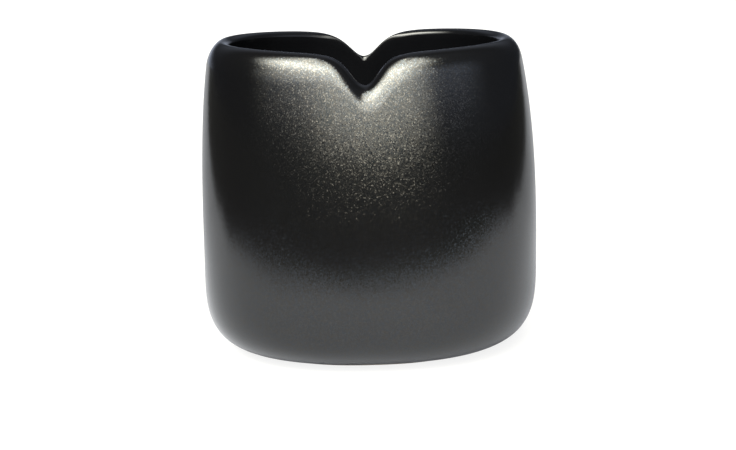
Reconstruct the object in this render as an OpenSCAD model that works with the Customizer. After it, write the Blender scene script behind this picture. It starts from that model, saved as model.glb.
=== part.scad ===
// Lidless sugar bowl: one cast stoneware body under two glaze coats.
// Rounded-square plan, slightly tapered to the rim, with a soft V dip in the
// middle of the front rim and another in the rear rim for a spoon to lie in.
// Frame: millimetres, +Z up, front faces -Y, origin on the table at the
// centre of the foot ring.

/* [Body] */
// Greatest outside width, across X
body_w = 90; // [80:1:100]
// Greatest outside depth, front to back, across Y
body_d = 86; // [74:1:100]
// Height of the rim at its highest, above the table
body_h = 82; // [75:1:92]
// Height of the widest point above the table
belly_z = 22.5; // [18:0.5:26]
// Rim width as a fraction of the belly width
rim_ratio = 0.93; // [0.86:0.01:0.97]
// How late the wall starts to lean in (higher is later)
taper_pow = 2.8; // [2.2:0.1:4]
// Squareness of the plan (2 is an ellipse, more is squarer)
plan_pow = 2.4; // [2.1:0.02:3]
// How far the underside curve starts from the centre, as a fraction of the belly
base_ratio = 0.52; // [0.48:0.01:0.58]
// Tightness of the curve from the underside into the wall
base_pow = 3.5; // [2.6:0.1:3.8]

/* [Wall] */
// Thickness of the wall with both glaze coats
wall_t = 5.5; // [5.1:0.1:6.2]
// Thickness of the floor above the table line, with the liner glaze
floor_t = 6.5; // [5.5:0.5:8]
// Height at which the inside wall turns into the floor
cavity_turn_z = 24; // [23:0.5:27]
// Size of the flat middle of the floor, as a fraction of the cavity
cavity_flat = 0.34; // [0.2:0.02:0.5]
// Tightness of the curve from the floor into the inside wall
cavity_pow = 2.4; // [2:0.1:3]

/* [Rim] */
// Distance from the outside wall to the crest of the rim
lip_out = 4.2; // [3.6:0.1:4.4]
// Height of the rounding between the outside wall and the crest
lip_rise = 5.8; // [4.5:0.1:7]
// Squareness of that rounding (1.8 is a slanting shoulder, 2 is an ellipse)
lip_pow = 2.2; // [1.8:0.1:2.6]
// Height of the small rounding between the crest and the inside wall
lip_in_rise = 1.5; // [1.2:0.1:2]
// How much lower the rim runs beside the dips than at the corners
rim_sag = 1.8; // [0:0.1:3]

/* [Spoon dips] */
// Depth of the front dip below the rim beside it
front_dip_d = 7; // [4:0.1:9]
// Spread of the sides of the front dip
front_dip_w = 3.5; // [3:0.1:6]
// Steepness of the sides of the front dip (1 is a long flare, 2 is a bell)
front_dip_pow = 1.35; // [1.1:0.05:1.8]
// Roundness of the bottom of the front dip
front_dip_round = 2.1; // [1:0.1:4]
// Depth of the rear dip below the rim beside it
rear_dip_d = 6.6; // [4:0.1:9]
// Spread of the sides of the rear dip
rear_dip_w = 3.8; // [3:0.1:6]
// Steepness of the sides of the rear dip (1 is a long flare, 2 is a bell)
rear_dip_pow = 1.15; // [1.1:0.05:1.8]
// Roundness of the bottom of the rear dip
rear_dip_round = 3.5; // [1:0.1:4]

/* [Foot] */
// Height of the foot ring
foot_h = 0.8; // [0.6:0.1:1.2]
// Outer edge of the foot ring, as a fraction of the belly
foot_out = 0.68; // [0.64:0.01:0.72]
// Inner edge of the foot ring, as a fraction of the belly
foot_in = 0.6; // [0.5:0.01:0.61]
// Height of the recess inside the foot ring
recess_h = 1.8; // [1.2:0.1:2.2]

/* [Glaze] */
// Thickness of each glaze coat
glaze_t = 0.35; // [0.3:0.05:0.5]

/* [Finish] */
// Colour of the bare clay
clay_colour = "#8d8377";
// Colour of the outside glaze
outer_colour = "#26262a";
// Colour of the liner glaze
inner_colour = "#0e0e10";

/* [Hidden] */

half_w = body_w / 2;
half_d = body_d / 2;

// Around the foot, as fractions of the belly
recess_slope = 0.03;           // inward lean of the recess wall
foot_slope = 0.01;             // outward lean of the foot's outer face
glaze_gap = 0.03;              // from the foot's outer edge to the glazed underside

// Mesh density
quarter = 18;                  // steps from a dip to the side, one quadrant
around = 4 * quarter;          // points in one ring
dip_crowding = 1.55;           // above 1, steps are smaller beside the dips
floor_crowding = 1.1;          // above 1, steps are smaller next to the inside wall
low_rings = 8;                 // from the underside to the belly
wall_rings = 7;                // from the belly to the shoulder
lip_rings = 5;                 // over the outside rounding of the rim
in_lip_rings = 3;              // over the inside rounding of the rim
in_wall_rings = 5;             // down the inside wall
in_low_rings = 6;              // from the inside wall into the floor

// ---- Plan ----

// Plan angle of point i, counted anticlockwise from the right side (+X).
function from_dip(step) = 90 * pow(step / quarter, dip_crowding);
function plan_angle(i) =
    let (quadrant = floor(i / quarter), step = i - quadrant * quarter)
    quadrant == 0 ? 90 - from_dip(quarter - step) :
    quadrant == 1 ? 90 + from_dip(step) :
    quadrant == 2 ? 270 - from_dip(quarter - step) :
                    270 + from_dip(step);

function signed_pow(value, power) = sign(value) * pow(abs(value), power);

// Point of a rounded square with half-sizes size_x, size_y at a plan angle.
function plan(size_x, size_y, angle) =
    [size_x * signed_pow(cos(angle), 2 / plan_pow),
     size_y * signed_pow(sin(angle), 2 / plan_pow)];

// Ring of points; section(angle) gives [inset, scale, z] at each plan angle,
// for half-sizes of the belly's times scale, less inset.
function ring(section) = [for (i = [0 : around - 1])
    let (angle = plan_angle(i),
         at = section(angle),
         point = plan(half_w * at[1] - at[0], half_d * at[1] - at[0], angle))
    [point[0], point[1], at[2]]];

function flat_ring(scale, z) = ring(function (angle) [0, scale, z]);

// ---- Rim line and wall lean ----

// Both parts of a squared quarter ellipse: each grows from 0 to 1 over 90 degrees.
function curve_sin(turn, power) = pow(sin(turn), 2 / power);
function curve_cos(turn, power) = 1 - pow(cos(turn), 2 / power);

// Distance of the crest from the middle of the front or rear, along X.
function crest_x(angle) = abs(plan(half_w * rim_ratio - lip_out, half_d, angle)[0]);

// Height of the rim crest without the dips, and with them.
function rim_line(angle) =
    body_h - rim_sag * pow(1 - min(1, crest_x(angle) / half_w), 2);
function dip(x, depth, spread, steepness, roundness) =
    depth * exp(-pow((sqrt(x * x + roundness * roundness) - roundness) / spread, steepness));
function crest_z(angle) =
    let (x = crest_x(angle))
    rim_line(angle)
    - (sin(angle) < 0
        ? dip(x, front_dip_d, front_dip_w, front_dip_pow, front_dip_round)
        : dip(x, rear_dip_d, rear_dip_w, rear_dip_pow, rear_dip_round));

// Outside size, as a fraction of the belly, at height z. The dips are pressed
// into the rim only: the wall below leans as if they were not there.
function wall_span(angle) = rim_line(angle) - lip_rise - belly_z;
function lean(angle, z) =
    1 - (1 - rim_ratio) * pow(max(0, (z - belly_z) / wall_span(angle)), taper_pow);

// ---- Outside surface, set in by "inset" (0 is the glaze, glaze_t the clay) ----

// Underside curve: u is 0 at its inner start, 1 at the belly.
function low_ring(u, inset) =
    let (start_z = foot_h + inset * (1 - u))
    ring(function (angle)
        [inset,
         base_ratio + (1 - base_ratio) * curve_sin(90 * u, base_pow),
         start_z + (belly_z - start_z) * curve_cos(90 * u, base_pow)]);

// Wall: u is 0 at the belly, 1 at the shoulder.
function wall_ring(u, inset) = ring(function (angle)
    let (z = belly_z + (crest_z(angle) - lip_rise - belly_z) * u)
    [inset, lean(angle, z), z]);

// Rounding of the rim: turn is 0 at the shoulder, 90 at the crest.
// It starts at the slope the wall arrives with.
function lip_ring(turn, inset) =
    let (across = curve_cos(turn, lip_pow),
         up = curve_sin(turn, lip_pow),
         height = lip_rise - inset)
    ring(function (angle)
        let (shoulder_z = crest_z(angle) - lip_rise,
             span = wall_span(angle),
             slope = (1 - rim_ratio) * taper_pow / span
                * pow((shoulder_z - belly_z) / span, taper_pow - 1))
        [inset + (lip_out - inset) * across,
         rim_ratio + (lean(angle, shoulder_z) - rim_ratio) * (1 - across)
            - slope * height * (up - across),
         shoulder_z + height * up]);

// Where on the underside curve the glaze starts, just outside the foot ring.
low_start =
    asin(pow((foot_out + glaze_gap - base_ratio) / (1 - base_ratio), base_pow / 2)) / 90;

function outside(inset) = concat(
    [for (k = [0 : low_rings - 1])
        low_ring(low_start + (1 - low_start) * k / low_rings, inset)],
    [for (k = [0 : wall_rings]) wall_ring(k / wall_rings, inset)],
    [for (k = [1 : lip_rings]) lip_ring(90 * k / lip_rings, inset)]);

// ---- Inside surface, set back by "back" (0 is the glaze, glaze_t the clay) ----

// Rounding of the rim: turn is 0 at the crest, 90 at the inside wall.
function in_lip_ring(turn, back) = ring(function (angle)
    let (foot_z = crest_z(angle) - lip_in_rise)
    [lip_out + (wall_t - lip_out - back) * sin(turn),
     rim_ratio + (lean(angle, foot_z) - rim_ratio) * sin(turn),
     foot_z + (lip_in_rise - back) * cos(turn)]);

// Wall: u is 0 at the turn into the floor, 1 below the rim rounding.
function in_wall_ring(u, back) = ring(function (angle)
    let (z = cavity_turn_z + (crest_z(angle) - lip_in_rise - cavity_turn_z) * u)
    [wall_t - back, lean(angle, z), z]);

// Floor curve: u is 0 at the flat middle, 1 at the turn into the wall.
function in_low_ring(u, back) =
    let (size = cavity_flat + (1 - cavity_flat) * curve_sin(90 * u, cavity_pow),
         floor_z = floor_t - back)
    ring(function (angle)
        [(wall_t - back) * size,
         size,
         floor_z + (cavity_turn_z - floor_z) * curve_cos(90 * u, cavity_pow)]);

function inside(back) = concat(
    [for (k = [1 : in_lip_rings]) in_lip_ring(90 * k / in_lip_rings, back)],
    [for (k = [1 : in_wall_rings]) in_wall_ring(1 - k / (in_wall_rings + 1), back)],
    [for (k = [0 : in_low_rings])
        in_low_ring(1 - pow(k / in_low_rings, floor_crowding), back)]);

// ---- Skin ----

// Triangles between two rings, given the index of each ring's first point.
function band(low, high) = [for (i = [0 : around - 1])
    let (j = (i + 1) % around)
    each [[low + i, high + i, low + j], [low + j, high + i, high + j]]];

// Closed skin over a stack of rings. "first" and "last" are centre points that
// close the two ends; without them the last ring joins back to the first.
module skin(rings, first, last) {
    count = len(rings);
    capped = !is_undef(first);
    last_ring = (count - 1) * around;
    first_centre = count * around;
    points = [for (r = rings) each r];
    sides = [for (k = [0 : count - 2]) each band(k * around, (k + 1) * around)];
    ends = capped
        ? [for (i = [0 : around - 1])
            let (j = (i + 1) % around)
            each [[first_centre, i, j],
                  [first_centre + 1, last_ring + j, last_ring + i]]]
        : band(last_ring, 0);
    polyhedron(
        points = capped ? concat(points, [first, last]) : points,
        faces = concat(sides, ends),
        convexity = 6);
}

function flipped(list) = [for (k = [len(list) - 1 : -1 : 0]) list[k]];

// ---- Pieces ----

// Cast and fired clay: recess, foot ring, outside wall, rim, cavity.
module stoneware_body() {
    foot = [
        flat_ring(foot_in - recess_slope, recess_h),
        flat_ring(foot_in, 0),
        flat_ring(foot_out, 0),
        flat_ring(foot_out + foot_slope, foot_h + glaze_t)];
    color(clay_colour)
        skin(concat(foot, outside(glaze_t), inside(glaze_t)),
             [0, 0, recess_h], [0, 0, floor_t - glaze_t]);
}

// Glaze over the outside, from just above the foot ring to the rim crest.
module outer_glaze() {
    color(outer_colour)
        skin(concat(outside(0), flipped(outside(glaze_t))));
}

// Liner glaze over the cavity, from the rim crest to the floor.
module inner_glaze() {
    crest = [lip_ring(90, glaze_t), lip_ring(90, 0)];
    color(inner_colour)
        skin(concat(flipped(inside(glaze_t)), crest, inside(0)),
             [0, 0, floor_t - glaze_t], [0, 0, floor_t]);
}

stoneware_body();
outer_glaze();
inner_glaze();
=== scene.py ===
"""Black-glazed stoneware vessel, a rounded square in plan, with a dip in the rim at front and rear.

It stands on z = 0, centred on the z axis. The front, towards the camera, is -y and the
right is +x. Three pieces: the outer glaze coat, the inner liner glaze and the clay casting.
Shapes are worked out in mm and become metres when the meshes are made.
"""
import math
from collections import namedtuple

import bpy
import numpy as np
from mathutils import Matrix, Vector


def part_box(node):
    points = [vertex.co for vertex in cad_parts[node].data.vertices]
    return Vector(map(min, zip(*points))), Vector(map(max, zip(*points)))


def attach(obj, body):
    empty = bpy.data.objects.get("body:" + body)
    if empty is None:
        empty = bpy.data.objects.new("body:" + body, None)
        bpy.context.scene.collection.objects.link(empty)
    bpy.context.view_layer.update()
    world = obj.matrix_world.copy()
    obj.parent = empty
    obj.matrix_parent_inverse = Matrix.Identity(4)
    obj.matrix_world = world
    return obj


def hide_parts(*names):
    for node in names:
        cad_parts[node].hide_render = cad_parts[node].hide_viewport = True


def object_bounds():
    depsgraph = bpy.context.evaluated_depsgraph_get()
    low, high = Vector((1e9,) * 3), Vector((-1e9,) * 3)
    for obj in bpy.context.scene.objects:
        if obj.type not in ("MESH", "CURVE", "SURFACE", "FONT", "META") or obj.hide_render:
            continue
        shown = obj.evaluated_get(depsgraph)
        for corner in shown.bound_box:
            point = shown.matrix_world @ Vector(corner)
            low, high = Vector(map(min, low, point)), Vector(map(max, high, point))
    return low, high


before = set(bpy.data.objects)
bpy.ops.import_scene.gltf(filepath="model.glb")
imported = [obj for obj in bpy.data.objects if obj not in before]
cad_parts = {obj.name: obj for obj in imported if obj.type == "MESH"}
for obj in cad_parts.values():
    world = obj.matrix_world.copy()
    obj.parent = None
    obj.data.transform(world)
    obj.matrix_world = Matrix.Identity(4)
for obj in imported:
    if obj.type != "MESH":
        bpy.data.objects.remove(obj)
cad_low, cad_high = [[float(v) for v in point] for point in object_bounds()]
outer_low, outer_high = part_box("outer_glaze")

# ---------------------------------------------------------------- sizes, mm
MM = 0.001
NOMINAL_CAD_HEIGHT = 0.081947     # metres; at this CAD height the rim is at 82 mm

# Overall. A "size" is a fraction of the belly's half width and half depth.
HALF_WIDTH = (outer_high.x - outer_low.x) / 2 / MM
HALF_DEPTH = (outer_high.y - outer_low.y) / 2 / MM
HEIGHT = 82.0 * (cad_high[2] - cad_low[2]) / NOMINAL_CAD_HEIGHT
PLAN_POWER = 2.4                  # superellipse power of the plan
BOW, LEAN = 0.48, -0.09           # sideways shift at mid height, and at the rim

# Outside wall
BELLY_Z = 22.5                    # height of the widest section
RIM_SIZE, TAPER_POWER = 0.93, 2.8
BASE_SIZE, BASE_POWER = 0.52, 3.5    # start and roundness of the curve below the belly
RIM_SAG = 1.83                    # how far the rim sinks towards x = 0

# Outer rounding of the lip
LIP_OUT = 4.2                     # inset of the crest from the outside wall
LIP_RISE = 5.8                    # height of the rounding
LIP_RISE_DIP = 0.6                # added at the bottom of the front dip
LIP_CUT_LEFT, LIP_CUT_RIGHT = 0.4, 0.25    # taken off on the slopes of the front dip
LIP_LEFT, LIP_LEFT_X, LIP_LEFT_WIDTH = 1.8, -22, 11    # added at the front, on the left
LIP_POWER = 2.2                   # superellipse power of the rounding
LIP_POWER_LEFT = 0.4              # taken off the power on the left
LIP_POWER_DIP = 0.36              # taken off on the right slope of the front dip
SKEW, SKEW_RIGHT, SKEW_REACH = 0.42, 0.78, 3.4    # shift of the front dip below the crest

# Cavity
WALL = 5.5
LIP_IN = 1.5                      # height of the inner rounding of the lip
CAVITY_FLOOR_Z = 6.5
CAVITY_TURN_Z = 24.0              # where the wall starts to curve into the floor
CAVITY_FLAT_SIZE, CAVITY_POWER = 0.34, 2.4

# Dips in the rim. The soft radius rounds the bottom; slope tilts that half of the rim along x.
Dip = namedtuple("Dip", "middle depth width power soft slope")
FRONT_DIP = Dip(middle=-0.39, depth=6.95, width=3.485, power=1.351, soft=2.09, slope=-0.0064)
REAR_DIP = Dip(middle=0.30, depth=6.61, width=3.784, power=1.152, soft=3.46, slope=-0.0062)

# Foot and glaze
FOOT_HEIGHT, RECESS_Z = 0.8, 1.8
FOOT_OUTER_SIZE, FOOT_INNER_SIZE = 0.68, 0.6
GLAZE_START = 0.03                # gap in size between the foot and the outer glaze
GLAZE = 0.35

# Unevenness of the outside: amount, waves along x, y and z (radians per mm), phase
SWELL_WAVES = (
    (0.035, 0.11, 0.0, 0.07, 0.6),
    (0.03, 0.0, 0.13, -0.09, 2.1),
    (0.018, 0.23, -0.19, 0.16, 4.0),
)

# Mesh steps
QUARTER_STEPS, CROWDING = 96, 1.35
OUT_LOW_STEPS, OUT_WALL_STEPS, OUT_LIP_STEPS = 30, 56, 26
IN_LIP_STEPS, IN_WALL_STEPS, IN_LOW_STEPS = 14, 40, 30
QUARTER_TURN = math.pi / 2


# ---------------------------------------------------------------- plan and rim
def signed_power(value, power):
    return np.sign(value) * np.abs(value) ** power


def ease(share):
    """Smooth step of a share from 0 to 1."""
    return share * share * (3 - 2 * share)


def plan_angles():
    """Plan angles with small steps beside the dips and larger ones at the sides."""
    steps = QUARTER_STEPS
    after = QUARTER_TURN + QUARTER_TURN * (np.arange(steps) / steps) ** CROWDING
    before = QUARTER_TURN - QUARTER_TURN * (np.arange(steps, 0, -1) / steps) ** CROWDING
    return np.concatenate([before, after, before + np.pi, after + np.pi])


ANGLES = plan_angles()
COS, SIN = np.cos(ANGLES), np.sin(ANGLES)
FRONT = SIN < 0
PLAN_X = signed_power(COS, 2 / PLAN_POWER)
PLAN_Y = signed_power(SIN, 2 / PLAN_POWER)
CREST_X = (HALF_WIDTH * RIM_SIZE - LIP_OUT) * PLAN_X
# height of the crest as if there were no dips
RIM_LINE = HEIGHT - RIM_SAG * (1 - np.minimum(1, np.abs(CREST_X) / HALF_WIDTH)) ** 2


def dip_profile(dip, shift=0.0):
    """Share of a dip's depth reached along the crest, 0 to 1."""
    away = CREST_X - dip.middle - shift
    rounded = np.sqrt(away * away + dip.soft * dip.soft) - dip.soft
    return np.exp(-(rounded / dip.width) ** dip.power)


def dip_share(shift):
    """How far the rim has dropped into the nearer dip, 0 to 1."""
    return np.where(FRONT, dip_profile(FRONT_DIP, shift), dip_profile(REAR_DIP))


def crest(shift=0.0):
    """Height of the rim crest; shift moves the front dip sideways."""
    front = FRONT_DIP.depth * dip_profile(FRONT_DIP, shift) - FRONT_DIP.slope * CREST_X
    rear = REAR_DIP.depth * dip_profile(REAR_DIP) - REAR_DIP.slope * CREST_X
    front_share = ease(np.clip(0.5 - SIN / 0.3, 0, 1))    # one runs into the other at the sides
    return RIM_LINE - front * front_share - rear * (1 - front_share)


def crest_slope():
    """Steepness of the crest along x, at the front and rear only."""
    height = crest()
    run = np.roll(CREST_X, -1) - np.roll(CREST_X, 1)
    climb = np.roll(height, -1) - np.roll(height, 1)
    return np.where(np.abs(SIN) > 0.55, np.abs(climb) / np.maximum(np.abs(run), 1e-6), 0.0)


def wall_size(z):
    """Size of the outside wall at height z."""
    up = np.maximum((z - BELLY_Z) / (RIM_LINE - LIP_RISE - BELLY_Z), 0)
    return 1 - (1 - RIM_SIZE) * up ** TAPER_POWER


def ring(size, inset, z):
    """One ring of points of the given size, drawn in by inset."""
    z = np.broadcast_to(z, ANGLES.shape).astype(float)
    x = (HALF_WIDTH * size - inset) * PLAN_X
    y = (HALF_DEPTH * size - inset) * PLAN_Y
    up = np.clip(z / HEIGHT, 0, 1.05)
    x = x + BOW * np.sin(np.pi * up) + LEAN * up
    return np.stack([x, y, z], -1)


# ---------------------------------------------------------------- surfaces
def outside(inset):
    """Rings from just outside the foot up to the rim crest."""
    rings = []
    # curve from the foot to the belly
    reach = (FOOT_OUTER_SIZE + GLAZE_START - BASE_SIZE) / (1 - BASE_SIZE)
    start = math.asin(reach ** (BASE_POWER / 2)) / QUARTER_TURN
    for share in np.linspace(start, 1, OUT_LOW_STEPS + 1)[:-1]:
        low = FOOT_HEIGHT + inset * (1 - share)
        up = 1 - math.cos(QUARTER_TURN * share) ** (2 / BASE_POWER)
        out = math.sin(QUARTER_TURN * share) ** (2 / BASE_POWER)
        rings.append(ring(BASE_SIZE + (1 - BASE_SIZE) * out, inset, low + (BELLY_Z - low) * up))

    # below the crest the front dip runs off to the right; the height of the lip's
    # rounding varies along the front
    x = HALF_WIDTH * PLAN_X
    shift = SKEW + SKEW_RIGHT * ease(np.clip(x / SKEW_REACH, 0, 1))
    skewed = crest(shift)
    share = dip_share(shift)
    slopes = 4 * share * (1 - share)
    cut = slopes * np.where(COS > 0, -LIP_CUT_RIGHT, -LIP_CUT_LEFT)
    left = LIP_LEFT * np.exp(-((x - LIP_LEFT_X) / LIP_LEFT_WIDTH) ** 2)
    rise = LIP_RISE + np.where(FRONT, LIP_RISE_DIP * share ** 3 + cut + left, 0)
    # the rounding is softer on the left and on the right slope of the front dip
    power = LIP_POWER - LIP_POWER_LEFT * np.clip(-COS, 0, 1) ** 2
    power = power - np.where(FRONT & (COS > 0), LIP_POWER_DIP * slopes, 0)

    for share in np.linspace(0, 1, OUT_WALL_STEPS + 1):
        z = BELLY_Z + (skewed - rise - BELLY_Z) * share
        rings.append(ring(wall_size(z), inset, z))

    # the wall's slope goes on into the lip
    top = wall_size(skewed - rise)
    taper = (wall_size(skewed - rise - 0.01) - top) / 0.01
    for turn in np.linspace(0, QUARTER_TURN, OUT_LIP_STEPS + 1)[1:]:
        across = 1 - max(math.cos(turn), 0.0) ** (2 / power)
        up = math.sin(turn) ** (2 / power)
        size = (RIM_SIZE + (top - RIM_SIZE) * (1 - across)
                - taper * (rise - inset) * (up - across))
        z = skewed + (crest() - skewed) * math.sin(turn) ** 2 - rise + (rise - inset) * up
        rings.append(ring(size, inset + (LIP_OUT - inset) * across, z))
    return rings


def inside(back):
    """Rings from just inside the crest to the flat of the floor, set back into the clay."""
    rings = []
    height = crest()
    lip_foot = height - LIP_IN
    # rounding tight on the slopes of the dips, fuller along the rest of the rim
    steep = ease(np.clip((crest_slope() - 0.15) / 0.6, 0, 1))
    power = 2 / (2 + 7 * steep)
    for turn in np.linspace(0, QUARTER_TURN, IN_LIP_STEPS + 1)[1:]:
        across = math.sin(turn) ** power
        size = RIM_SIZE + (wall_size(lip_foot) - RIM_SIZE) * across
        z = lip_foot + (LIP_IN - back) * max(math.cos(turn), 0.0) ** power
        rings.append(ring(size, LIP_OUT + (WALL - LIP_OUT - back) * across, z))
    for share in np.linspace(1, 0, IN_WALL_STEPS + 2)[1:-1]:
        z = CAVITY_TURN_Z + (lip_foot - CAVITY_TURN_Z) * share
        rings.append(ring(wall_size(z), WALL - back, z))
    floor_z = CAVITY_FLOOR_Z - back
    for share in np.linspace(1, 0, IN_LOW_STEPS + 1):
        out = math.sin(QUARTER_TURN * share) ** (2 / CAVITY_POWER)
        size = CAVITY_FLAT_SIZE + (1 - CAVITY_FLAT_SIZE) * out
        up = 1 - max(math.cos(QUARTER_TURN * share), 0.0) ** (2 / CAVITY_POWER)
        rings.append(ring(size, (WALL - back) * size, floor_z + (CAVITY_TURN_Z - floor_z) * up))
    return rings


def foot_rings():
    """Recess, foot ring with worn edges, and the step up to the underside."""
    inner, outer, recess = FOOT_INNER_SIZE, FOOT_OUTER_SIZE, RECESS_Z
    profile = (    # size, z
        (0.12, recess + 0.05), (0.3, recess + 0.02), (0.45, recess),
        (inner - 0.05, recess), (inner - 0.035, recess - 0.12), (inner - 0.026, recess - 0.45),
        (inner - 0.018, 0.55), (inner - 0.012, 0.22), (inner - 0.006, 0.07),
        (inner, 0.0), ((inner + outer) / 2, 0.0), (outer, 0.0),
        (outer + 0.004, 0.05), (outer + 0.008, 0.2), (outer + 0.011, 0.5),
        (outer + 0.014, FOOT_HEIGHT + 0.1), (outer + 0.02, FOOT_HEIGHT + GLAZE * 0.95),
    )
    return [ring(size, 0.0, z) for size, z in profile]


def swell(rings):
    """Slow, shallow unevenness of a cast and sprayed wall, outwards from the axis."""
    swollen = []
    for points in rings:
        x, y, z = points.T
        push = sum(amount * np.sin(wave_x * x + wave_y * y + wave_z * z + phase)
                   for amount, wave_x, wave_y, wave_z, phase in SWELL_WAVES)
        radius = np.sqrt(x * x + y * y) + 1e-6
        swollen.append(np.stack([x + push * x / radius, y + push * y / radius, z], -1))
    return swollen


# ---------------------------------------------------------------- pieces
def mesh_from_rings(name, rings, sharp_rings=(), centres=None):
    """Closed mesh over a stack of rings. Fans to the two centre points close the first and
    last ring; without centres the last ring joins the first."""
    count, around = len(rings), len(rings[0])
    points = np.concatenate(rings)
    here = np.arange(around)
    after = (here + 1) % around
    faces = []
    for level in range(count - 1 if centres else count):
        low, high = level * around, ((level + 1) % count) * around
        quads = np.stack([low + here, low + after, high + after, high + here], -1)
        faces += quads.tolist()
    if centres:
        points = np.concatenate([points, centres])
        first, last = count * around, (count - 1) * around
        faces += np.stack([np.full(around, first), after, here], -1).tolist()
        faces += np.stack([np.full(around, first + 1), last + here, last + after], -1).tolist()
    mesh = bpy.data.meshes.new(name)
    mesh.from_pydata((points * MM).tolist(), [], faces)
    mesh.update()
    mesh.polygons.foreach_set("use_smooth", [True] * len(mesh.polygons))
    if sharp_rings:
        ring_of = np.full(len(points), -1)
        ring_of[:count * around] = np.repeat(np.arange(count), around)
        ends = np.zeros(len(mesh.edges) * 2, np.int32)
        mesh.edges.foreach_get("vertices", ends)
        start, end = ring_of[ends.reshape(-1, 2)].T
        sharp = (start == end) & np.isin(start, sharp_rings)
        mesh.edges.foreach_set("use_edge_sharp", sharp.tolist())
    mesh.validate()
    piece = bpy.data.objects.new(name, mesh)
    bpy.context.scene.collection.objects.link(piece)
    return piece


def build_pieces():
    out_face, out_back = swell(outside(0.0)), swell(outside(GLAZE))
    in_face, in_back = inside(0.0), inside(GLAZE)
    floor_back, floor_face = in_back[-1].mean(0), in_face[-1].mean(0)

    rings = out_face + out_back[::-1]
    edge = len(out_face)
    outer = mesh_from_rings("outer_glaze_coat", rings,
                            sharp_rings=(0, edge - 1, edge, len(rings) - 1))

    # the crest line is shared by both coats
    rings = in_back[::-1] + [out_back[-1], out_face[-1]] + in_face
    edge = len(in_back)
    inner = mesh_from_rings("inner_liner_glaze", rings, sharp_rings=(edge, edge + 1),
                            centres=(floor_back, floor_face))

    underside = np.array([0.0, 0.0, RECESS_Z + 0.06])
    body = mesh_from_rings("stoneware_casting", foot_rings() + out_back + in_back,
                           centres=(underside, floor_back))
    return outer, inner, body


# ---------------------------------------------------------------- shader helpers
class Shader:
    """Builds nodes in the tree of a material or world. Values are sockets or numbers."""

    def __init__(self, owner):
        owner.use_nodes = True
        self.tree = owner.node_tree
        self.tree.nodes.clear()

    def node(self, kind, inputs=None, **settings):
        node = self.tree.nodes.new("ShaderNode" + kind)
        for name, value in settings.items():
            setattr(node, name, value)
        for key, value in (inputs or {}).items():
            socket = node.inputs[key]
            if isinstance(value, bpy.types.NodeSocket):
                self.tree.links.new(value, socket)
            elif socket.type == "RGBA":
                socket.default_value = (*value, 1.0)
            else:
                socket.default_value = value
        return node

    def math(self, operation, *values, clamp=False):
        return self.node("Math", dict(enumerate(values)), operation=operation,
                         use_clamp=clamp).outputs[0]

    def chain(self, operation, first, *others):
        for value in others:
            first = self.math(operation, first, value)
        return first

    def product(self, *values):
        return self.chain("MULTIPLY", *values)

    def total(self, *values):
        return self.chain("ADD", *values)

    def linear(self, value, slope, offset):
        return self.math("MULTIPLY_ADD", value, slope, offset)

    def smooth(self, value, span, to=(0.0, 1.0)):
        """Smooth step from to[0] to to[1] as the value crosses the span."""
        inputs = {"Value": value, "From Min": span[0], "From Max": span[1],
                  "To Min": to[0], "To Max": to[1]}
        return self.node("MapRange", inputs, interpolation_type="SMOOTHSTEP").outputs["Result"]

    def vector(self, operation, *vectors, scale=None):
        inputs = dict(enumerate(vectors))
        if scale is not None:
            inputs["Scale"] = scale
        return self.node("VectorMath", inputs, operation=operation).outputs[0]

    def object_place(self):
        return self.node("TexCoord").outputs["Object"]

    def split(self, kind, value):
        return self.node(kind, {0: value}).outputs

    def noise(self, place, scale, detail=2.0, rough=0.5):
        inputs = {"Vector": place, "Scale": scale, "Detail": detail, "Roughness": rough}
        return self.node("TexNoise", inputs).outputs["Fac"]

    def voronoi(self, place, scale):
        return self.node("TexVoronoi", {"Vector": place, "Scale": scale}).outputs

    def ramp(self, value, stops):
        node = self.node("ValToRGB", {"Fac": value})
        elements = node.color_ramp.elements
        while len(elements) < len(stops):
            elements.new(0.5)
        for element, (position, color) in zip(elements, stops):
            element.position = position
            element.color = (*color, 1.0)
        return node.outputs["Color"]

    def mix_color(self, share, first, second, blend="MIX"):
        return self.node("Mix", {0: share, 6: first, 7: second}, data_type="RGBA",
                         blend_type=blend).outputs[2]

    def mix_shader(self, share, first, second):
        return self.node("MixShader", {0: share, 1: first, 2: second}).outputs[0]

    def bump(self, height, strength, distance):
        inputs = {"Height": height, "Strength": strength, "Distance": distance}
        return self.node("Bump", inputs).outputs["Normal"]

    def camera_ray(self):
        return self.node("LightPath").outputs["Is Camera Ray"]


def make_material(name, build):
    material = bpy.data.materials.new(name)
    shader = Shader(material)
    shader.node("OutputMaterial", {"Surface": build(shader)})
    return material


# ---------------------------------------------------------------- materials
CRYSTAL_SCALE = 4700.0    # crystals per metre
CRYSTAL_TAIL = 2.5        # higher leaves fewer crystals standing
CRYSTAL_TILT, CRYSTAL_SHINE = 0.15, 0.52    # added where a crystal stands fully
GLAZE_TILT, GLAZE_ROUGHNESS, GLAZE_SPECULAR = 0.02, 0.150, 0.45
CRYSTAL_TINTS = [(0.0, (0.78, 0.90, 1.0)), (0.4, (0.96, 0.98, 1.0)),
                 (0.7, (1.0, 0.98, 0.90)), (1.0, (1.0, 0.92, 0.81))]


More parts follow.
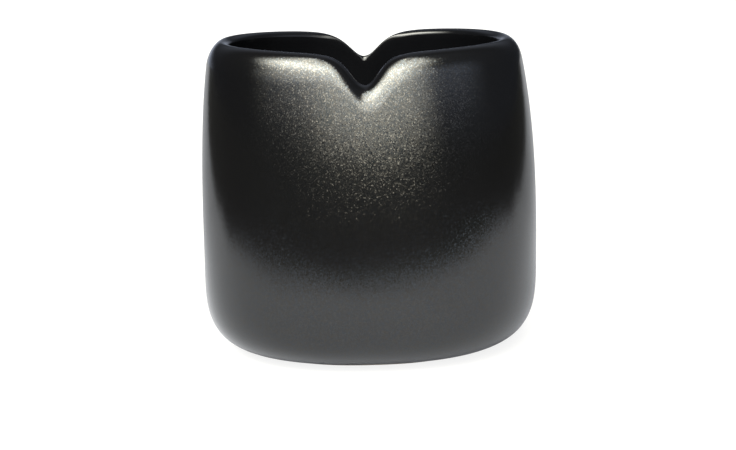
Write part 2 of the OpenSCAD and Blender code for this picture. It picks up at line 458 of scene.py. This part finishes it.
def satin_black_glaze(shader):
    """Dark glass set with very fine crystals. Most lie flat in the surface; a few stand at
    larger tilts, shine more and are tinted, and only show where they catch the light."""
    place = shader.object_place()
    crystals = shader.voronoi(place, scale=CRYSTAL_SCALE)
    chance = shader.node("TexWhiteNoise", {"Vector": crystals["Position"]},
                         noise_dimensions="3D").outputs["Value"]
    stands = shader.math("POWER", chance, CRYSTAL_TAIL)
    # fewer show where the surface is seen edge-on, and low on the piece (z in metres)
    facing = shader.node("LayerWeight", {"Blend": 0.5}).outputs["Facing"]
    height = shader.split("SeparateXYZ", place)[2]
    shown = shader.product(shader.smooth(facing, span=(0.08, 0.38), to=(1.0, 0.2)),
                           shader.smooth(height, span=(0.027, 0.045), to=(0.25, 1.0)))
    stands = shader.product(stands, shown)
    tilt = shader.linear(stands, slope=CRYSTAL_TILT, offset=GLAZE_TILT)
    lean = shader.vector("SUBTRACT", crystals["Color"], (0.5, 0.5, 0.5))
    lean = shader.vector("SCALE", lean, scale=tilt)
    tint = shader.ramp(shader.split("SeparateColor", crystals["Color"])[2], CRYSTAL_TINTS)

    specular = shader.linear(stands, slope=CRYSTAL_SHINE, offset=GLAZE_SPECULAR)
    cloud = shader.noise(place, scale=60.0, detail=3.0, rough=0.55)
    specular = shader.product(specular, shader.linear(cloud, slope=0.16, offset=0.94))
    fine = shader.noise(place, scale=220.0, detail=3.0, rough=0.6)
    broad = shader.noise(place, scale=28.0)
    roughness = shader.total(shader.linear(fine, slope=0.03, offset=GLAZE_ROUGHNESS - 0.025),
                             shader.product(broad, 0.02))
    ripple = shader.bump(shader.noise(place, scale=420.0), strength=0.25, distance=0.00002)
    return shader.node("BsdfPrincipled", {
        "Base Color": (0.0020, 0.0020, 0.0022),
        "IOR": 1.5,
        "Specular Tint": tint,
        "Specular IOR Level": specular,
        "Roughness": roughness,
        "Normal": shader.vector("NORMALIZE", shader.vector("ADD", ripple, lean)),
    }).outputs[0]


def liner_glaze(shader):
    """Poured liner: near-black, with a fine orange-peel."""
    place = shader.object_place()
    cloud = shader.noise(place, scale=45.0, detail=3.0)
    gloss = shader.noise(place, scale=180.0, detail=3.0, rough=0.6)
    peel = shader.noise(place, scale=300.0)
    return shader.node("BsdfPrincipled", {
        "Base Color": shader.ramp(cloud, [(0.3, (0.0016, 0.0017, 0.0021)),
                                          (0.7, (0.0024, 0.0025, 0.0030))]),
        "IOR": 1.5,
        "Roughness": shader.linear(gloss, slope=0.05, offset=0.14),
        "Normal": shader.bump(peel, strength=0.3, distance=0.00003),
    }).outputs[0]


def bare_stoneware(shader):
    """Unglazed fired clay: warm grey-buff, dark iron specks, dry grain."""
    place = shader.object_place()
    cloud = shader.noise(place, scale=140.0, detail=6.0, rough=0.62)
    clay = shader.ramp(cloud, [(0.25, (0.20, 0.165, 0.13)), (0.55, (0.29, 0.25, 0.205)),
                               (0.8, (0.36, 0.32, 0.27))])
    # a speck in the middle of some of the cells
    cells = shader.voronoi(place, scale=900.0)
    near = shader.math("LESS_THAN", cells["Distance"], 0.16)
    chosen = shader.math("GREATER_THAN", shader.split("SeparateColor", cells["Color"])[0], 0.72)
    specks = shader.product(near, chosen)
    grain = shader.noise(place, scale=2600.0, detail=4.0, rough=0.7)
    return shader.node("BsdfPrincipled", {
        "Base Color": shader.mix_color(specks, clay, (0.045, 0.03, 0.022)),
        "Roughness": 0.82,
        "Normal": shader.bump(grain, strength=0.6, distance=0.00008),
    }).outputs[0]


pieces = build_pieces()
materials = (make_material("satin_black_speckled_glaze", satin_black_glaze),
             make_material("gloss_black_liner_glaze", liner_glaze),
             make_material("bare_fired_stoneware", bare_stoneware))
cad_names = ("outer_glaze", "inner_glaze", "stoneware_body")
slots = ("outer_glaze", "inner_glaze", "stoneware")
for piece, material, cad_name, slot in zip(pieces, materials, cad_names, slots):
    piece.data.materials.append(material)
    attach(piece, "root")
    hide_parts(cad_name)

# ---------------------------------------------------------------- table, metres
TABLE_HALF = 6.0
# Lit sheet: its middle in x, half width, reach to the front, softness of its edge
SHEET_X, SHEET_SIDE, SHEET_FRONT, SHEET_SOFT = 0.022, 0.218, 0.149, 0.15
TABLE_FALL = (-0.20, 0.40)    # y range over which the light falls off
# share of that range, grey level
TABLE_LEVELS = [(0.0, 0.65), (0.30, 0.44), (0.42, 0.33), (0.55, 0.234), (0.75, 0.190),
                (1.0, 0.194)]
TABLE_TINT = (0.96, 0.985, 1.12)
TABLE_GLOW = 0.84             # share of even white in what the camera sees


def pale_table(shader):
    """Plain pale table. Away from the piece, in front and at the sides, mirrored rays meet
    dark; the camera sees it pale all over."""
    place = shader.node("NewGeometry").outputs["Position"]
    x, y, _ = shader.split("SeparateXYZ", place)

    def behind(start, slope):
        past = shader.math("MAXIMUM", shader.math("SUBTRACT", y, start), 0.0)
        return shader.product(past, slope)

    # edge of the lit sheet: rounded off in front of the piece, widening behind it
    widen = shader.total(shader.math("MINIMUM", behind(start=0.01, slope=0.8), 0.05),
                         behind(start=0.10, slope=0.5))
    aside = shader.math("ABSOLUTE", shader.math("SUBTRACT", x, SHEET_X))
    across = shader.math("MAXIMUM", shader.math("SUBTRACT", aside, widen), 0.0)
    across = shader.math("DIVIDE", across, SHEET_SIDE)
    along = shader.math("DIVIDE", shader.math("MINIMUM", y, 0.0), SHEET_FRONT)
    radius = shader.math("SQRT", shader.total(shader.product(across, across),
                                              shader.product(along, along)))
    off_sheet = shader.smooth(radius, span=(1.0 - SHEET_SOFT, 1.0 + SHEET_SOFT))
    camera_ray = shader.camera_ray()
    dark = shader.product(off_sheet, shader.math("SUBTRACT", 1.0, camera_ray))

    # the light falls off from front to back
    fall = shader.node("MapRange", {"Value": y, "From Min": TABLE_FALL[0],
                                    "From Max": TABLE_FALL[1]}).outputs["Result"]
    level = shader.ramp(fall, [(share, tuple(grey * tint for tint in TABLE_TINT))
                               for share, grey in TABLE_LEVELS])
    cloud = shader.ramp(shader.noise(place, scale=6.0), [(0.3, (0.98,) * 3), (0.7, (1.0,) * 3)])
    pale = shader.mix_color(1.0, level, cloud, blend="MULTIPLY")
    pale = shader.mix_color(camera_ray, pale, (0.92, 0.92, 0.92))
    color = shader.mix_color(dark, pale, (0.02, 0.02, 0.02))
    # the camera sees mostly an even white, with a faint contact shadow
    return shader.mix_shader(
        shader.product(camera_ray, TABLE_GLOW),
        shader.node("BsdfDiffuse", {"Color": color}).outputs[0],
        shader.node("Emission", {"Color": (1.0, 1.0, 1.0)}).outputs[0])


def build_table():
    mesh = bpy.data.meshes.new("pale_table")
    corners = [(x * TABLE_HALF, y * TABLE_HALF, 0) for x, y in ((-1, -1), (1, -1), (1, 1), (-1, 1))]
    mesh.from_pydata(corners, [], [(0, 1, 2, 3)])
    mesh.update()
    table = bpy.data.objects.new("pale_table", mesh)
    bpy.context.scene.collection.objects.link(table)
    mesh.materials.append(make_material("pale_table", pale_table))


build_table()


# ---------------------------------------------------------------- studio light, degrees
SOFTBOX_LEVEL, SOFTBOX_CORE = 12.0, 10.8    # even light, and what the bright core adds
CORE_AZIMUTH, CORE_HALF_WIDTH = -50.0, 75.0
CORE_ELEVATION, CORE_HALF_HEIGHT = 46.0, 15.0
GLOW_LEVEL = 0.74
ROOM_LEVEL, ROOM_RIGHT = 0.037, 0.09
BEHIND_LOW, BEHIND_HIGH = 0.9, 0.20
WARM, COOL = (1.02, 1.01, 0.90), (0.86, 0.95, 1.16)


def softbox(shader, azimuth, leftward, elevation):
    """Large source, soft on all sides, brightest high on the left."""
    smooth, total = shader.smooth, shader.total
    # lower edge higher to the left, upper edge higher at both sides
    low_line = total(shader.linear(smooth(leftward, span=(10.0, 45.0)), slope=7.4, offset=13.1),
                     smooth(azimuth, span=(-30.0, 6.0), to=(0.0, -7.0)))
    top_line = total(shader.linear(smooth(leftward, span=(-20.0, 50.0)), slope=22.0, offset=64.0),
                     smooth(azimuth, span=(-5.0, 35.0), to=(0.0, 18.0)))
    above_low = shader.math("SUBTRACT", elevation, low_line)
    above_top = shader.math("SUBTRACT", elevation, top_line)
    # side edges move with elevation
    left_line = total(azimuth, smooth(elevation, span=(28.0, 50.0), to=(0.0, 19.0)),
                      smooth(elevation, span=(46.0, 62.0), to=(0.0, -4.0)))
    right_line = total(azimuth, smooth(elevation, span=(30.0, 60.0), to=(0.0, -17.0)))
    left = smooth(left_line, span=(-82.0, -28.0))
    right = smooth(right_line, span=(2.0, 40.0), to=(1.0, 0.0))
    low = smooth(above_low, span=(-20.5, 26.0))
    high = smooth(above_top, span=(-6.0, 6.0), to=(1.0, 0.17))
    up = shader.linear(elevation, 1 / CORE_HALF_HEIGHT, -CORE_ELEVATION / CORE_HALF_HEIGHT)
    across = shader.linear(azimuth, 1 / CORE_HALF_WIDTH, -CORE_AZIMUTH / CORE_HALF_WIDTH)
    core = shader.math("SUBTRACT", 1.0, shader.product(up, up))
    core = shader.math("SUBTRACT", core, shader.product(across, across), clamp=True)
    level = shader.linear(core, slope=SOFTBOX_CORE, offset=SOFTBOX_LEVEL)
    return shader.product(left, right, low, high, level)


def surroundings(shader, azimuth, leftward, elevation):
    """Glow under the softbox, a nearly black room, and pale light behind the piece."""
    smooth, product = shader.smooth, shader.product
    glow = product(smooth(elevation, span=(2.0, 12.5)),
                   smooth(elevation, span=(20.0, 40.0), to=(1.0, 0.0)),
                   smooth(azimuth, span=(-74.0, -33.0)),
                   smooth(azimuth, span=(50.0, 90.0), to=(1.0, 0.0)), GLOW_LEVEL)
    # the room is a little lighter on the right
    right = product(smooth(azimuth, span=(0.0, 48.0)),
                    smooth(azimuth, span=(76.0, 149.0), to=(1.0, 0.0)))
    room = shader.linear(right, slope=ROOM_RIGHT, offset=ROOM_LEVEL)
    rear = shader.total(smooth(leftward, span=(134.0, 163.0)),
                        smooth(azimuth, span=(162.0, 180.0)))
    behind_low = product(rear, smooth(elevation, span=(-4.0, 9.0), to=(1.0, 0.0)), BEHIND_LOW)
    behind_high = product(smooth(shader.math("ABSOLUTE", azimuth), span=(125.0, 170.0)),
                          smooth(elevation, span=(8.0, 34.0)), BEHIND_HIGH)
    return shader.total(glow, room, behind_low, behind_high)


def build_world():
    """Azimuth 0 is towards the camera and grows to the right. The camera itself sees white."""
    world = bpy.data.worlds.new("studio")
    bpy.context.scene.world = world
    shader = Shader(world)
    x, y, z = shader.split("SeparateXYZ", shader.node("TexCoord").outputs["Generated"])
    degrees = 180 / math.pi
    azimuth = shader.math("ARCTAN2", x, shader.product(y, -1.0))
    azimuth = shader.product(azimuth, degrees)
    elevation = shader.product(shader.math("ARCSINE", z), degrees)
    directions = (azimuth, shader.product(azimuth, -1.0), elevation)
    warm = shader.vector("SCALE", WARM, scale=softbox(shader, *directions))
    cool = shader.vector("SCALE", COOL, scale=surroundings(shader, *directions))
    light = shader.node("Background", {"Color": shader.vector("ADD", warm, cool)})
    white = shader.node("Background", {"Color": (1.0, 1.0, 1.0), "Strength": 1.05})
    surface = shader.mix_shader(shader.camera_ray(), light.outputs[0], white.outputs[0])
    shader.node("OutputWorld", {"Surface": surface})
    world.cycles.sampling_method = "MANUAL"
    world.cycles.sample_map_resolution = 1024


build_world()

# ---------------------------------------------------------------- camera
SENSOR_WIDTH, LENS = 36.0, 71.828804            # mm
SHIFT_X, SHIFT_Y = 0.00095108696, -0.045380435    # fractions of the frame width
AIM_HEIGHT, DISTANCE = 0.040, 0.400             # metres
PITCH, YAW, ROLL = 0.1878, 0.0086, 0.0239       # radians


def build_camera():
    data = bpy.data.cameras.new("camera")
    camera = bpy.data.objects.new("camera", data)
    bpy.context.scene.collection.objects.link(camera)
    data.sensor_fit = "HORIZONTAL"
    data.sensor_width = SENSOR_WIDTH
    data.lens = LENS
    data.shift_x = SHIFT_X
    data.shift_y = SHIFT_Y
    data.clip_start = 0.01
    data.clip_end = 50.0
    # in front and above, swung about the z axis by the yaw, then rolled about its own axis
    swing = Matrix.Rotation(-YAW, 3, "Z")
    backwards = Vector((0, -math.cos(PITCH), math.sin(PITCH)))
    position = swing @ (Vector((0, 0, AIM_HEIGHT)) + backwards * DISTANCE)
    z_axis = (swing @ backwards).normalized()
    x_axis = (swing @ Vector((1, 0, 0))).normalized()
    level = Matrix((x_axis, z_axis.cross(x_axis), z_axis)).transposed()
    rolled = level @ Matrix.Rotation(-ROLL, 3, "Z")
    camera.matrix_world = Matrix.Translation(position) @ rolled.to_4x4()
    bpy.context.scene.camera = camera


build_camera()

view = bpy.context.scene.view_settings
view.view_transform = "Standard"
view.look = "None"
view.exposure = 0.0
view.gamma = 1.0
